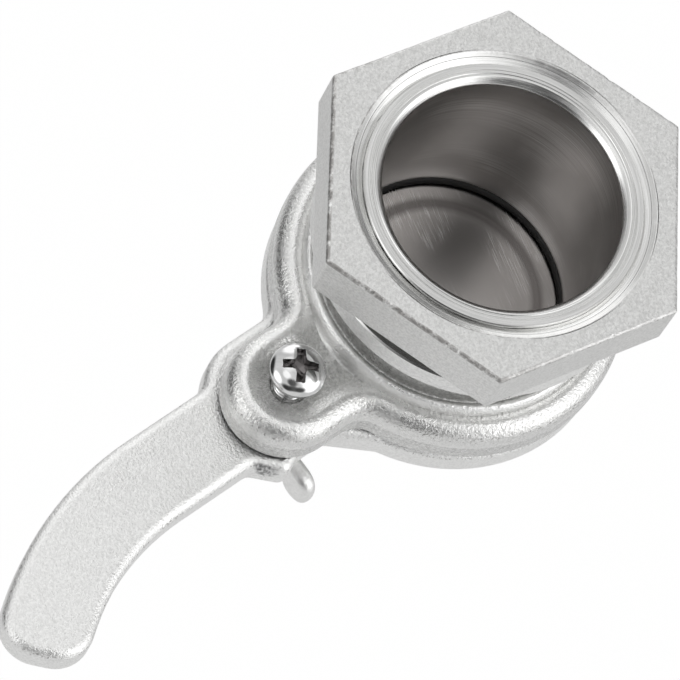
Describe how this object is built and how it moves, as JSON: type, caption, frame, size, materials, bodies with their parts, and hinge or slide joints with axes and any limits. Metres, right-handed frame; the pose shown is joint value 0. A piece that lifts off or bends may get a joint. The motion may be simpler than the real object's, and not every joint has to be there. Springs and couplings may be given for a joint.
{
  "type": "honey gate valve",
  "caption": "Hand lever gate valve for a liquid tank: threaded tube with a back nut through the wall, and a pivoting lever whose round disc swings across the outlet.",
  "frame": {"origin": "on the waterway's axis, in the plane of the seat that meets the tank's outer wall", "axes": "+Y along the tube into the tank, +Z from the waterway up to the lever's pivot, +X completes the right-handed frame; the outlet faces -Y and the open disc swings to -X"},
  "size_m": [0.0618, 0.053, 0.13],
  "materials": {
    "cast_steel": "bead blasted",
    "nut_steel": "bead blasted",
    "lever_steel": "bead blasted",
    "bright_steel": "polished",
    "washer_steel": "satin",
    "black_rubber": "matte"
  },
  "bodies": {
    "body": {"valve_body": "cast_steel", "seal_ring": "black_rubber", "pivot_screw": "bright_steel", "flat_washer": "washer_steel", "spring_washer": "washer_steel"},
    "lever": {"gate_lever": "lever_steel"},
    "wing": {"wing_nut": "washer_steel"},
    "back_nut": {"lock_nut": "nut_steel"}
  },
  "joints": [
    {"name": "lever_pivot", "type": "hinge", "parent": "body", "child": "lever", "pos_m": [0, -0.0262, 0.0352], "axis": [0, 1, 0], "range_deg": [0, 90]},
    {"name": "wing_nut_turn", "type": "hinge", "parent": "body", "child": "wing", "pos_m": [0, -0.03165, 0.0352], "axis": [0, 1, 0], "continuous": true},
    {"name": "back_nut_travel", "type": "slide", "parent": "body", "child": "back_nut", "axis": [0, 1, 0], "range_m": [-0.0043, 0]}
  ]
}
